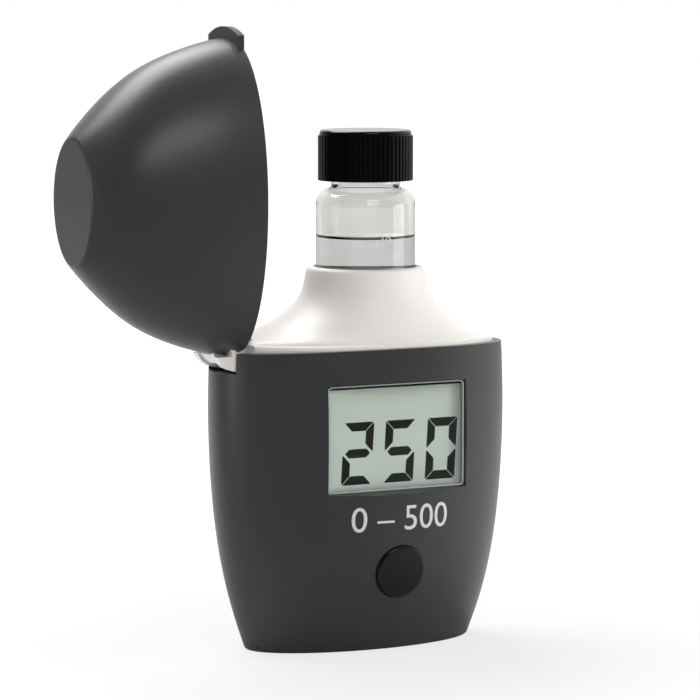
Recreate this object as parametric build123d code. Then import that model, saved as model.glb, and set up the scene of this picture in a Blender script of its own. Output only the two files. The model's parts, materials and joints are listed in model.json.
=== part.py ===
from build123d import *
import math
import os

# Body shell: oval sections as height above the foot, half length and half depth
SEAM_HEIGHT = 54.5
SEAM_HALF_LENGTH = 28.4
SEAM_HALF_DEPTH = 17.7
FOOT_HALF_LENGTH = 22.2
FOOT_HALF_DEPTH = 10.0
BODY_SECTIONS = [
    (0.0, FOOT_HALF_LENGTH, FOOT_HALF_DEPTH),
    (5.0, FOOT_HALF_LENGTH + 1.5, FOOT_HALF_DEPTH + 3.5),
    (14.0, SEAM_HALF_LENGTH - 2.5, SEAM_HALF_DEPTH - 0.7),
    (SEAM_HEIGHT - 28.5, SEAM_HALF_LENGTH - 0.7, SEAM_HALF_DEPTH + 0.7),
    (SEAM_HEIGHT - 15.5, SEAM_HALF_LENGTH + 0.1, SEAM_HALF_DEPTH + 1.05),
    (SEAM_HEIGHT, SEAM_HALF_LENGTH, SEAM_HALF_DEPTH),
    (SEAM_HEIGHT + 5.5, SEAM_HALF_LENGTH - 0.2, SEAM_HALF_DEPTH - 0.7),
]
BODY_WALL = 2.0
SEAM_ARCH = 0.8
RIM_LAND = 1.6
FOOT_EDGE = 0.8
FLOOR = 1.8

# Base cover under the battery
COVER_RECESS = 1.6
COVER_LIP = 1.6
COVER_GAP = 0.15
TONGUE_WIDTH = 6.0
TONGUE_REACH = 0.9
TONGUE_THICKNESS = 0.7
COVER_SCREW_X = 16.2
COVER_BOSS_RADIUS = 2.6
COVER_BOSS_HEIGHT = 5.5

# Screws, shared sizes
SCREW_RADIUS = 0.9
SCREW_HEAD_RADIUS = 1.7
SCREW_HEAD_HEIGHT = 0.9
SCREW_HEAD_EDGE = 0.22
SCREW_LENGTH = 4.2
SCREW_SLOT = 0.4
HEAD_GAP = 0.15

# Lid: oval sections as height above the rim, half length and half depth
LID_STEP = 0.1
LID_HALF_LENGTH = SEAM_HALF_LENGTH - LID_STEP
LID_HALF_DEPTH = SEAM_HALF_DEPTH - LID_STEP
LID_SECTIONS = [
    (0.0, LID_HALF_LENGTH, LID_HALF_DEPTH),
    (4.0, LID_HALF_LENGTH - 0.4, LID_HALF_DEPTH - 0.2),
    (10.0, LID_HALF_LENGTH - 2.1, LID_HALF_DEPTH - 0.7),
    (19.0, LID_HALF_LENGTH - 6.3, LID_HALF_DEPTH - 2.3),
    (25.0, LID_HALF_LENGTH - 11.3, LID_HALF_DEPTH - 4.3),
    (29.2, LID_HALF_LENGTH - 15.7, LID_HALF_DEPTH - 7.6),
    (30.3, LID_HALF_LENGTH - 17.0, LID_HALF_DEPTH - 9.0),
]
LID_WALL = 1.25
LID_RIM_GAP = 0.2
CROWN_EDGE = 0.9

# Hinge at the narrow left end
HINGE_INSET = 2.1
HINGE_RISE = 1.15
HINGE_X = HINGE_INSET - SEAM_HALF_LENGTH
HINGE_Z = SEAM_HEIGHT + HINGE_RISE
PIN_RADIUS = 0.8
PIN_RUNNING_GAP = 0.05
BARREL_RADIUS = 3.9
BARREL_HALF_WIDTH = 3.0
BARREL_GAP = 0.25
EAR_RADIUS = 4.3
EAR_OUTER = 5.4
EAR_TOP_DROP = 1.6
EAR_BOSS_RADIUS = 1.5
EAR_NECK_HALF = 1.25
EAR_LID_GAP = 0.6
NOTCH_GAP = 0.4
ARM_LENGTH = 13.0
ARM_THICKNESS = 1.2
ARM_RIVET_RADIUS = 0.8
ARM_RIVET_SPACING = 3.6
ARM_RIVET_HEIGHT = 0.4

# Thumb tab at the narrow right end of the lid
TAB_REACH = 2.1
TAB_HALF_WIDTH = 6.2
TAB_THICKNESS = 1.25
TAB_END_EDGE = 0.6

# Glass cuvette: its own size, and its place when raised
CUVETTE_X = 1.75
GLASS_RADIUS = 9.0
GLASS_WALL = 1.15
GLASS_FLOOR = 1.5
GLASS_BOTTOM = 21.2
GLASS_BODY_LENGTH = 59.6
SHOULDER_Z = GLASS_BOTTOM + GLASS_BODY_LENGTH
SHOULDER_RISE = 2.2
NECK_RADIUS = 7.3
NECK_LENGTH = 10.7
NECK_TOP = SHOULDER_Z + NECK_LENGTH
THREAD_HEIGHT = 0.7
THREAD_EDGE = 0.23
THREAD_DEPTH = 0.4
THREAD_PITCH = 2.1
THREAD_COUNT = 3
FILL_DEPTH = 53.2
FILL_Z = GLASS_BOTTOM + FILL_DEPTH
LIQUID_GAP = 0.02

# White top cover; the bell's sections are height above the seam, half length, half depth
# and how much of the way across to the cuvette's axis they are centred
TOP_SHOULDER_HEIGHT = 1.5
TOP_SHOULDER_EDGE = 0.9
TOP_SKIRT_DEPTH = 1.9
TOP_SKIRT_THICKNESS = 1.5
TOP_WALL = 1.7
TOP_FIT = 0.05
TOP_HALF_LENGTH = SEAM_HALF_LENGTH - RIM_LAND
TOP_HALF_DEPTH = SEAM_HALF_DEPTH - RIM_LAND
BELL_SECTIONS = [
    (0.9, TOP_HALF_LENGTH - 1.2, TOP_HALF_DEPTH - 0.9, 0.0),
    (2.1, TOP_HALF_LENGTH - 3.2, TOP_HALF_DEPTH - 1.2, 0.1),
    (3.5, TOP_HALF_LENGTH - 7.4, TOP_HALF_DEPTH - 1.9, 0.5),
    (5.6, GLASS_RADIUS + 6.5, GLASS_RADIUS + 4.3, 0.8),
    (8.4, GLASS_RADIUS + 3.5, GLASS_RADIUS + 3.0, 1.0),
    (11.4, GLASS_RADIUS + 2.2, GLASS_RADIUS + 2.2, 1.0),
    (14.3, GLASS_RADIUS + 1.5, GLASS_RADIUS + 1.5, 1.0),
]
COLLAR_EDGE = 0.8

# Cuvette's seat and the dark holder round it
SEAT_TRAVEL = 13.5
SEAT_FLOOR_GAP = 0.3
BORE_GAP = 0.3
COLLAR_BORE_GAP = 0.4
HOLDER_WALL = 1.0
HOLDER_FLOOR = 2.0
HOLDER_RISE = 7.5
HOLDER_TOP = SEAM_HEIGHT + HOLDER_RISE
HOLDER_FIT = 0.05
PEDESTAL_RADIUS = 6.4
HOLDER_SCREW_SPACING = 7.6
HOLDER_EDGE = 1.2
FLANGE_RISE = 1.1
FLANGE_Z = SEAM_HEIGHT + FLANGE_RISE
FLANGE_THICKNESS = 1.5
FLANGE_WIDTH = 5.0
COVER_SCREW_SPACING = 24.0
COVER_SCREW_BOSS = 2.0
SEAL_RISE = 10.5
SEAL_Z = SEAM_HEIGHT + SEAL_RISE
SEAL_HEIGHT = 1.5
SEAL_THICKNESS = 0.9
SEAL_GAP = 0.1

# Screw cap of the cuvette
CAP_RISE = 3.6
CAP_BOTTOM = SHOULDER_Z + CAP_RISE
CAP_HEIGHT = 9.1
CAP_RADIUS = 8.63
CAP_RIB_COUNT = 60
CAP_RIB_DEPTH = 0.3
CAP_RIB_LAND = 1.0
CAP_TOP_WALL = 1.25
CAP_BORE_GAP = 0.2
CAP_TOP_EDGE = 0.5
LINER_THICKNESS = 0.55
LINER_GAP = 0.05

# Optics, across the cuvette on a slanted line
OPTIC_ANGLE = 135.0
OPTIC_Z = 18.0
LIGHT_HOLE_RADIUS = 1.6
LED_RADIUS = 1.5
LED_FLANGE_RADIUS = 1.9
LED_FLANGE_THICKNESS = 1.0
LED_LENGTH = 3.6
LED_BOARD_WIDTH = 6.4
LED_BOARD_HEIGHT = 7.0
FILTER_RADIUS = 2.2
FILTER_THICKNESS = 0.5
DIODE_SIZE = 3.2
DIODE_THICKNESS = 1.2
SENSOR_BOARD_WIDTH = 6.0
SENSOR_BOARD_HEIGHT = 9.0
SMALL_BOARD_THICKNESS = 0.8
OPTIC_GAP = 0.1

# Display behind the front wall
WINDOW_WIDTH = 27.5
WINDOW_HEIGHT = 19.2
WINDOW_DROP = 15.1
WINDOW_Z = SEAM_HEIGHT - WINDOW_DROP
WINDOW_Y = -15.4
WINDOW_THICKNESS = 1.0
WINDOW_LEDGE = 0.55
WINDOW_FIT = 0.05
RECESS_FLARE = 0.5
LCD_WIDTH = 30.0
LCD_HEIGHT = 22.0
LCD_THICKNESS = 1.4
LCD_FRAME_WALL = 1.0
LCD_FRAME_GAP = 0.05
LCD_BOSS_MARGIN = 1.4
ZEBRA_THICKNESS = 1.0
ZEBRA_HEIGHT = 1.6
ZEBRA_WIDTH = 24.0
BOARD_THICKNESS = 1.0
BOARD_MARGIN = 1.5
BOARD_WIDTH = LCD_WIDTH + 2 * BOARD_MARGIN
BOARD_TOP_DROP = 3.5
BOARD_TOP = SEAM_HEIGHT - BOARD_TOP_DROP
BOARD_STEP_DROP = 3.8
BOARD_STEP_Z = WINDOW_Z - LCD_HEIGHT / 2 - BOARD_STEP_DROP
BOARD_TONGUE_WIDTH = 13.0
BOARD_BOTTOM = 11.0

# Push button
BUTTON_Z = 15.3
BUTTON_RADIUS = 4.75
BUTTON_PROUD = 0.6
BUTTON_EDGE = 0.45
BUTTON_GAP = 0.12
BUTTON_TRAVEL = 0.6
BUTTON_FLANGE = 0.9
BUTTON_FLANGE_THICKNESS = 0.6
BUTTON_BOSS_MARGIN = 2.2
BUTTON_SEAT_Y = -14.3
BUTTON_REST_GAP = 0.05
SWITCH_SIZE = 5.0
SWITCH_THICKNESS = 0.7
PLUNGER_RADIUS = 1.3
PLUNGER_GAP = 0.08
PLUNGER_ENGAGE = 0.1

# Battery, upright beside the cuvette
BATTERY_X = -14.4
BATTERY_RADIUS = 5.25
BATTERY_LENGTH = 44.5
BATTERY_NUB_RADIUS = 1.9
BATTERY_NUB_HEIGHT = 0.8
BATTERY_BOTTOM = 4.6
BATTERY_EDGE = 0.4
BATTERY_DOOR_GAP = 0.4
CONTACT_THICKNESS = 0.3
CONTACT_WIDTH = 4.0
CONTACT_LEG = 6.0
LEAF_LENGTH = 7.0
LEAF_FOLD = 0.6

# Small electronics on the back of the main board
CHIP_SIZE = 6.0
CHIP_THICKNESS = 0.9
CHIP_X = 11.4
CHIP_RISE = 2.1
CHIP_Z = WINDOW_Z + CHIP_RISE
CRYSTAL_LENGTH = 5.0
CRYSTAL_RADIUS = 0.8
CRYSTAL_X = 11.2
CRYSTAL_DROP = 4.2
CRYSTAL_Z = WINDOW_Z - CRYSTAL_DROP
RESISTOR_SIZE = (1.6, 0.5, 0.8)
RESISTOR_ROWS = 2
RESISTOR_COLUMNS = 4
RESISTOR_ROW_PITCH = 2.4
RESISTOR_COLUMN_PITCH = 1.2
RESISTOR_X = 11.2
RESISTOR_DROP = 8.4
RESISTOR_Z = WINDOW_Z - RESISTOR_DROP
BOARD_SCREW_INSET = 0.4
BOARD_SCREW_X = LCD_WIDTH / 2 - BOARD_SCREW_INSET
BOARD_POST_RADIUS = 1.5
BOARD_SCREW_DROP = 2.1
BOARD_SCREW_Z = WINDOW_Z - LCD_HEIGHT / 2 - BOARD_SCREW_DROP
BOARD_SCREW_LENGTH = 2.4

# Reach of cutting shapes past the part, and past one face
FAR = 200.0
OVERRUN = 1.0


def oval(half_length, half_depth, z, x=0.0):
    """Oval face at one height."""
    return Plane((x, 0, z)) * Ellipse(half_length, half_depth)


def oval_solid(sections, base_z, inset=0.0, lift=0.0):
    """Smooth solid through oval sections, shrunk by inset and moved up by lift."""
    faces = [oval(a - inset, b - inset, base_z + z + lift) for z, a, b in sections]
    return loft(faces)


def rod(radius, low, high, x=0.0, y=0.0):
    """Upright cylinder between two heights."""
    return Pos(x, y, (low + high) / 2) * Cylinder(radius, high - low)


def rod_y(radius, front, back, x, z):
    """Cylinder along Y."""
    return Pos(x, (front + back) / 2, z) * Rot(90, 0, 0) * Cylinder(radius, back - front)


def block(x0, x1, y0, y1, z0, z1):
    """Box between two corners."""
    centre = ((x0 + x1) / 2, (y0 + y1) / 2, (z0 + z1) / 2)
    return Pos(*centre) * Box(x1 - x0, y1 - y0, z1 - z0)


def wide_block(half_width, y0, y1, z_centre, half_height):
    """Box centred on X and on one height."""
    return block(-half_width, half_width, y0, y1, z_centre - half_height, z_centre + half_height)


def above_seam(raise_by):
    """Everything above the arched seam, lifted by a gap."""
    half = SEAM_HALF_LENGTH
    end_z = SEAM_HEIGHT + raise_by
    arc = ThreePointArc((-half, end_z), (0, end_z + SEAM_ARCH), (half, end_z))
    path = Polyline((half, end_z), (FAR, end_z), (FAR, FAR), (-FAR, FAR), (-FAR, end_z), (-half, end_z))
    face = Plane.XZ * make_face([arc, path])
    return extrude(face, amount=FAR / 2, both=True)


def along_optic(shape, distance, angle=OPTIC_ANGLE):
    """Place a shape made along +X at a distance from the cuvette's axis, on the light path."""
    return Pos(CUVETTE_X, 0, OPTIC_Z) * Rot(0, 0, angle) * Pos(distance, 0, 0) * shape


def disc_x(radius, length):
    """Cylinder along X that starts at the origin."""
    return Pos(length / 2, 0, 0) * Rot(0, 90, 0) * Cylinder(radius, length)


def small_board(width, height):
    """Small circuit board across the light path, from the origin along +X."""
    return Pos(SMALL_BOARD_THICKNESS / 2, 0, 0) * Box(SMALL_BOARD_THICKNESS, width, height)


def screw():
    """Slotted pan-head screw along +Z with its head's outer face at the origin."""
    head = rod(SCREW_HEAD_RADIUS, 0, SCREW_HEAD_HEIGHT)
    head = chamfer(head.edges().group_by(Axis.Z)[0], SCREW_HEAD_EDGE)
    shank = rod(SCREW_RADIUS, SCREW_HEAD_HEIGHT, SCREW_LENGTH)
    half_slot = SCREW_SLOT / 2
    return head + shank - block(-FAR, FAR, -half_slot, half_slot, -OVERRUN, SCREW_SLOT)


def lid_pose(shape):
    """Turn a shape of the closed lid about the hinge to its open rest pose."""
    return Pos(HINGE_X, 0, HINGE_Z) * Rot(0, -90, 0) * Pos(-HINGE_X, 0, -HINGE_Z) * shape


# Derived places
recess_length = FOOT_HALF_LENGTH - COVER_LIP
recess_depth = FOOT_HALF_DEPTH - COVER_LIP
floor_top = COVER_RECESS + FLOOR
bore_radius = GLASS_RADIUS + BORE_GAP
holder_radius = bore_radius + HOLDER_WALL
collar_bore = GLASS_RADIUS + COLLAR_BORE_GAP
seat_top = GLASS_BOTTOM - SEAT_TRAVEL - SEAT_FLOOR_GAP
holder_bottom = seat_top - HOLDER_FLOOR
glass_inner = GLASS_RADIUS - GLASS_WALL
thread_radius = NECK_RADIUS + THREAD_DEPTH
cap_bore = thread_radius + CAP_BORE_GAP
cap_top = CAP_BOTTOM + CAP_HEIGHT
window_back = WINDOW_Y + WINDOW_THICKNESS
lcd_front = window_back + LCD_FRAME_GAP
lcd_back = lcd_front + LCD_THICKNESS
board_front = lcd_back + ZEBRA_THICKNESS
board_back = board_front + BOARD_THICKNESS
boss_half_width = LCD_WIDTH / 2 + LCD_BOSS_MARGIN
boss_half_height = LCD_HEIGHT / 2 + LCD_BOSS_MARGIN
battery_top = BATTERY_BOTTOM + BATTERY_LENGTH
lid_rim = SEAM_HEIGHT + LID_RIM_GAP
skirt_bottom = SEAM_HEIGHT - TOP_SKIRT_DEPTH
ear_inner = BARREL_HALF_WIDTH + BARREL_GAP
notch_half = EAR_OUTER + NOTCH_GAP
flange_top = FLANGE_Z + FLANGE_THICKNESS


def make_body_shell():
    """One-piece lower casing with an oval foot, a notch for the hinge and openings at the front."""
    outer = oval_solid(BODY_SECTIONS, 0)
    foot = outer.edges().group_by(Axis.Z)[0]
    outer = fillet(foot, FOOT_EDGE)
    inner = oval_solid(BODY_SECTIONS, 0, BODY_WALL, floor_top)
    shell = outer - inner
    boss = wide_block(boss_half_width, -FAR, window_back + LCD_THICKNESS, WINDOW_Z, boss_half_height)
    pad = rod_y(BUTTON_RADIUS + BUTTON_BOSS_MARGIN, -FAR, BUTTON_SEAT_Y, 0, BUTTON_Z)
    shell = shell + (outer & boss) + (outer & pad)
    post = rod(COVER_BOSS_RADIUS, COVER_RECESS, floor_top + COVER_BOSS_HEIGHT, COVER_SCREW_X)
    shell = shell + post
    for side in (-1, 1):
        stem = rod_y(BOARD_POST_RADIUS, -FAR, board_front, side * BOARD_SCREW_X, BOARD_SCREW_Z)
        shell = shell + (outer & stem)
    # Display opening, stepped for the window and the display glass
    shell = shell - wide_block(WINDOW_WIDTH / 2, WINDOW_Y, 0, WINDOW_Z, WINDOW_HEIGHT / 2)
    step_width = WINDOW_WIDTH / 2 + WINDOW_LEDGE + WINDOW_FIT
    step_height = WINDOW_HEIGHT / 2 + WINDOW_LEDGE + WINDOW_FIT
    shell = shell - wide_block(step_width, WINDOW_Y, 0, WINDOW_Z, step_height)
    frame_width = LCD_WIDTH / 2 + LCD_FRAME_WALL + LCD_FRAME_GAP
    frame_height = LCD_HEIGHT / 2 + LCD_FRAME_WALL + LCD_FRAME_GAP
    shell = shell - wide_block(frame_width, window_back, 0, WINDOW_Z, frame_height)
    # Flared edge of the display opening
    widest = max(depth for _, _, depth in BODY_SECTIONS)
    near = Plane((0, -widest - OVERRUN, WINDOW_Z), x_dir=(1, 0, 0), z_dir=(0, 1, 0))
    far = Plane((0, WINDOW_Y, WINDOW_Z), x_dir=(1, 0, 0), z_dir=(0, 1, 0))
    mouth = Rectangle(WINDOW_WIDTH + 2 * RECESS_FLARE, WINDOW_HEIGHT + 2 * RECESS_FLARE)
    throat = Rectangle(WINDOW_WIDTH, WINDOW_HEIGHT)
    shell = shell - loft([near * mouth, far * throat])
    shell = shell - rod_y(BUTTON_RADIUS + BUTTON_GAP, -FAR, 0, 0, BUTTON_Z)
    shell = shell - rod_y(BUTTON_RADIUS + BUTTON_FLANGE + BUTTON_GAP, BUTTON_SEAT_Y, 0, 0, BUTTON_Z)
    # Foot recess for the base cover, and the battery's way through the floor
    recess = oval(recess_length, recess_depth, -OVERRUN)
    shell = shell - extrude(recess, COVER_RECESS + OVERRUN)
    shell = shell - rod(BATTERY_RADIUS + BATTERY_DOOR_GAP, 0, floor_top + OVERRUN, BATTERY_X)
    tongue_end = -(recess_length + TONGUE_REACH + COVER_GAP)
    slot_half = TONGUE_WIDTH / 2 + COVER_GAP
    slot_low = COVER_RECESS - TONGUE_THICKNESS - COVER_GAP
    shell = shell - block(tongue_end, 0, -slot_half, slot_half, slot_low, COVER_RECESS)
    shell = shell - rod(SCREW_RADIUS, 0, COVER_RECESS + SCREW_LENGTH, COVER_SCREW_X)
    for side in (-1, 1):
        x = CUVETTE_X + side * HOLDER_SCREW_SPACING / 2
        shell = shell - rod(SCREW_HEAD_RADIUS + HEAD_GAP, 0, COVER_RECESS + SCREW_HEAD_HEIGHT, x)
        shell = shell - rod(SCREW_RADIUS + HEAD_GAP, 0, floor_top, x)
        hole_x = side * BOARD_SCREW_X
        shell = shell - rod_y(SCREW_RADIUS, board_front - BOARD_SCREW_LENGTH, 0, hole_x, BOARD_SCREW_Z)
    # Rebate for the top cover's skirt, the arched rim and the hinge notch
    rebate = oval(TOP_HALF_LENGTH + TOP_FIT, TOP_HALF_DEPTH + TOP_FIT, skirt_bottom)
    shell = shell - extrude(rebate, FAR / 2)
    shell = shell - above_seam(0)
    notch_floor = HINGE_Z - EAR_RADIUS - NOTCH_GAP
    shell = shell - block(-FAR, HINGE_X + EAR_RADIUS + NOTCH_GAP, -notch_half, notch_half, notch_floor, FAR)
    return shell


def make_base_cover():
    """Oval plate under the battery with a tongue at one end and a screw hole at the other."""
    plate = extrude(oval(recess_length - COVER_GAP, recess_depth - COVER_GAP, 0), COVER_RECESS)
    tongue_end = -(recess_length + TONGUE_REACH)
    low = COVER_RECESS - TONGUE_THICKNESS
    plate = plate + block(tongue_end, 0, -TONGUE_WIDTH / 2, TONGUE_WIDTH / 2, low, COVER_RECESS)
    plate = plate - rod(SCREW_HEAD_RADIUS + HEAD_GAP, -OVERRUN, SCREW_HEAD_HEIGHT, COVER_SCREW_X)
    plate = plate - rod(SCREW_RADIUS + HEAD_GAP, -OVERRUN, FAR, COVER_SCREW_X)
    return plate


def make_top_cover():
    """White cover with an oval shoulder, a bell round the cuvette, a collar and two hinge ears."""
    top = SEAM_HEIGHT + TOP_SHOULDER_HEIGHT
    shoulder = extrude(oval(TOP_HALF_LENGTH, TOP_HALF_DEPTH, skirt_bottom), top - skirt_bottom)
    shoulder = fillet(shoulder.edges().group_by(Axis.Z)[-1], TOP_SHOULDER_EDGE)
    bell = loft([oval(a, b, SEAM_HEIGHT + z, x * CUVETTE_X) for z, a, b, x in BELL_SECTIONS])
    bell = fillet(bell.edges().group_by(Axis.Z)[-1], COLLAR_EDGE)
    solid = shoulder + bell
    # Hollow below, down through the skirt
    under = oval(TOP_HALF_LENGTH - TOP_SKIRT_THICKNESS, TOP_HALF_DEPTH - TOP_SKIRT_THICKNESS, skirt_bottom)
    ceiling = top - TOP_WALL
    floor_z = SEAM_HEIGHT - TOP_WALL
    hollow_rows = [(floor_z + z, a - TOP_WALL, b - TOP_WALL, x) for z, a, b, x in BELL_SECTIONS[:-3]]
    hollow = loft([oval(a, b, z, x * CUVETTE_X) for z, a, b, x in hollow_rows])
    full = solid
    solid = solid - extrude(under, ceiling - skirt_bottom) - hollow
    for side in (-1, 1):
        boss = rod(COVER_SCREW_BOSS, flange_top, HOLDER_TOP, CUVETTE_X + side * COVER_SCREW_SPACING / 2)
        solid = solid + (boss & full)
    solid = solid - rod(holder_radius + HOLDER_FIT, 0, HOLDER_TOP, CUVETTE_X)
    solid = solid - rod(collar_bore, 0, FAR, CUVETTE_X)
    solid = solid - rod(BATTERY_RADIUS, 0, battery_top + CONTACT_THICKNESS + HEAD_GAP, BATTERY_X)
    solid = solid - rod(GLASS_RADIUS + SEAL_GAP + SEAL_THICKNESS, SEAL_Z, SEAL_Z + SEAL_HEIGHT, CUVETTE_X)
    for side in (-1, 1):
        x = CUVETTE_X + side * COVER_SCREW_SPACING / 2
        solid = solid - rod(SCREW_RADIUS, 0, FLANGE_Z + SCREW_LENGTH - SCREW_HEAD_HEIGHT, x)
    # Room for the lid's rim as it swings, then the ears that hold the pin
    relief = EAR_RADIUS - EAR_TOP_DROP - BARREL_GAP
    cut_low = HINGE_Z - EAR_TOP_DROP
    swing = rod_y(relief, -notch_half - relief, notch_half + relief, HINGE_X, HINGE_Z)
    solid = solid - (swing & block(-FAR, FAR, -FAR, FAR, cut_low, FAR))
    solid = solid - block(-FAR, HINGE_X, -notch_half - relief, notch_half + relief, cut_low, FAR)
    # Pocket wall behind the barrel
    wall = rod_y(BARREL_RADIUS + BARREL_GAP + TOP_SKIRT_THICKNESS, -EAR_OUTER, EAR_OUTER, HINGE_X, HINGE_Z)
    wall = wall & block(HINGE_X, FAR, -FAR, FAR, HINGE_Z - EAR_RADIUS, cut_low)
    ears = rod_y(EAR_RADIUS, -EAR_OUTER, EAR_OUTER, HINGE_X, HINGE_Z)
    ears = ears & block(-FAR, FAR, -FAR, FAR, -FAR, cut_low)
    boss = rod_y(EAR_BOSS_RADIUS, -EAR_OUTER, EAR_OUTER, HINGE_X, HINGE_Z)
    neck_low = cut_low - OVERRUN
    neck = block(HINGE_X - EAR_NECK_HALF, HINGE_X + EAR_NECK_HALF, -EAR_OUTER, EAR_OUTER, neck_low, HINGE_Z)
    solid = solid + wall + ears + boss + neck
    pocket = rod_y(BARREL_RADIUS + BARREL_GAP, -ear_inner, ear_inner, HINGE_X, HINGE_Z)
    solid = solid - pocket
    solid = solid - block(-FAR, HINGE_X, -ear_inner, ear_inner, 0, FAR)
    solid = solid - rod_y(PIN_RADIUS, -FAR, FAR, HINGE_X, HINGE_Z)
    return solid


def make_cuvette_holder():
    """Dark tube with a closed foot, light holes and two screw lugs under the top cover."""
    tube = rod(holder_radius, holder_bottom, HOLDER_TOP, CUVETTE_X)
    tube = chamfer(tube.edges().group_by(Axis.Z)[0], HOLDER_EDGE)
    reach = COVER_SCREW_SPACING / 2 + COVER_SCREW_BOSS
    lug = Pos(CUVETTE_X, 0, FLANGE_Z + FLANGE_THICKNESS / 2) * Box(2 * reach, FLANGE_WIDTH, FLANGE_THICKNESS)
    tube = tube + lug + rod(PEDESTAL_RADIUS, floor_top, seat_top, CUVETTE_X)
    tube = tube - rod(bore_radius, seat_top, FAR, CUVETTE_X)
    tube = tube - along_optic(disc_x(LIGHT_HOLE_RADIUS, FAR), 0)
    tube = tube - along_optic(disc_x(LIGHT_HOLE_RADIUS, FAR), 0, OPTIC_ANGLE + 180)
    pocket = disc_x(FILTER_RADIUS + OPTIC_GAP / 2, FAR)
    tube = tube - along_optic(pocket, holder_radius - FILTER_THICKNESS, OPTIC_ANGLE + 180)
    for side in (-1, 1):
        x = CUVETTE_X + side * HOLDER_SCREW_SPACING / 2
        tube = tube - rod(SCREW_RADIUS, 0, COVER_RECESS + SCREW_LENGTH, x)
        x = CUVETTE_X + side * COVER_SCREW_SPACING / 2
        tube = tube - rod(SCREW_RADIUS + HEAD_GAP, 0, flange_top, x)
    return tube


def make_cuvette_glass():
    """Round glass vial with a rounded shoulder and a threaded neck."""
    inner_neck = NECK_RADIUS - GLASS_WALL
    bottom = GLASS_BOTTOM
    outer = rod(GLASS_RADIUS, bottom, SHOULDER_Z + SHOULDER_RISE)
    outer = fillet(outer.edges().group_by(Axis.Z)[-1], GLASS_RADIUS - NECK_RADIUS)
    outer = fillet(outer.edges().group_by(Axis.Z)[0], GLASS_WALL)
    glass = outer + rod(NECK_RADIUS, SHOULDER_Z, NECK_TOP)
    for turn in range(THREAD_COUNT):
        z = NECK_TOP - THREAD_PITCH * (turn + 1)
        ring = rod(thread_radius, z, z + THREAD_HEIGHT)
        glass = glass + chamfer(ring.edges().filter_by(GeomType.CIRCLE), THREAD_EDGE)
    cavity = rod(glass_inner, bottom + GLASS_FLOOR, SHOULDER_Z + SHOULDER_RISE - GLASS_WALL)
    cavity = fillet(cavity.edges().group_by(Axis.Z)[-1], glass_inner - inner_neck)
    glass = glass - cavity - rod(inner_neck, bottom + GLASS_FLOOR, FAR)
    return Pos(CUVETTE_X, 0, 0) * glass


def make_cap():
    """Ribbed screw cap, open below."""
    ring = Circle(CAP_RADIUS)
    groove_width = math.pi * CAP_RADIUS / CAP_RIB_COUNT / 2
    grooves = PolarLocations(CAP_RADIUS + groove_width - CAP_RIB_DEPTH, CAP_RIB_COUNT) * Circle(groove_width)
    fluted = extrude(ring - grooves, CAP_HEIGHT - CAP_RIB_LAND)
    crown = Pos(0, 0, CAP_HEIGHT - CAP_RIB_LAND) * extrude(Circle(CAP_RADIUS - CAP_RIB_DEPTH), CAP_RIB_LAND)
    crown = fillet(crown.edges().group_by(Axis.Z)[-1], CAP_TOP_EDGE)
    body = fluted + crown
    body = body - rod(cap_bore, -OVERRUN, CAP_HEIGHT - CAP_TOP_WALL)
    return Pos(CUVETTE_X, 0, CAP_BOTTOM) * body


def make_lid_shell():
    """Deep oval lid, closed pose, with room for the hinge."""
    outer = oval_solid(LID_SECTIONS, lid_rim)
    outer = fillet(outer.edges().group_by(Axis.Z)[-1], CROWN_EDGE)
    inner = oval_solid(LID_SECTIONS, lid_rim, LID_WALL, -LID_WALL)
    shell = (outer - inner) & above_seam(LID_RIM_GAP)
    clear = rod_y(EAR_BOSS_RADIUS + EAR_LID_GAP, -notch_half, notch_half, HINGE_X, HINGE_Z)
    barrel_room = rod_y(BARREL_RADIUS, -BARREL_HALF_WIDTH, BARREL_HALF_WIDTH, HINGE_X, HINGE_Z)
    return shell - clear - barrel_room


def make_latch_tab():
    """Thumb tab: a band outside the lid's end, closed pose."""
    edge = oval(LID_HALF_LENGTH + TAB_REACH, LID_HALF_DEPTH + TAB_REACH, lid_rim)
    middle = math.sqrt(1 - (TAB_HALF_WIDTH / LID_HALF_DEPTH) ** 2) * LID_HALF_LENGTH
    strip_room = block(middle - TAB_REACH, FAR, -TAB_HALF_WIDTH, TAB_HALF_WIDTH, 0, FAR)
    plate = extrude(edge, TAB_THICKNESS) & strip_room
    plate = fillet(plate.edges().filter_by(Axis.Z).group_by(Axis.X)[-1], TAB_END_EDGE)
    return plate - oval_solid(LID_SECTIONS, lid_rim)


def make_hinge_arm():
    """Pale barrel on the pin with a strip up the inside of the lid's wall, closed pose."""
    barrel = rod_y(BARREL_RADIUS, -BARREL_HALF_WIDTH, BARREL_HALF_WIDTH, HINGE_X, HINGE_Z)
    outside = oval_solid(LID_SECTIONS, lid_rim, LID_WALL, -LID_WALL)
    inside = oval_solid(LID_SECTIONS, lid_rim, LID_WALL + ARM_THICKNESS, -LID_WALL)
    band = outside - inside
    slab = block(-FAR, 0, -BARREL_HALF_WIDTH, BARREL_HALF_WIDTH, HINGE_Z, lid_rim + ARM_LENGTH)
    arm = barrel + (band & slab)
    arm = arm - rod_y(PIN_RADIUS + PIN_RUNNING_GAP, -FAR, FAR, HINGE_X, HINGE_Z)
    return arm


def make_arm_rivets():
    """Two small rivet heads on the arm's inner face, closed pose."""
    inside = oval_solid(LID_SECTIONS, lid_rim, LID_WALL + ARM_THICKNESS, -LID_WALL)
    raised = oval_solid(LID_SECTIONS, lid_rim, LID_WALL + ARM_THICKNESS + ARM_RIVET_HEIGHT, -LID_WALL)
    heads = []
    for row in (0.5, 1.5):
        z = lid_rim + ARM_LENGTH - row * ARM_RIVET_SPACING
        bar = Pos(-LID_HALF_LENGTH, 0, z) * disc_x(ARM_RIVET_RADIUS, LID_HALF_LENGTH)
        heads.append((inside - raised) & bar)
    return heads


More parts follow.
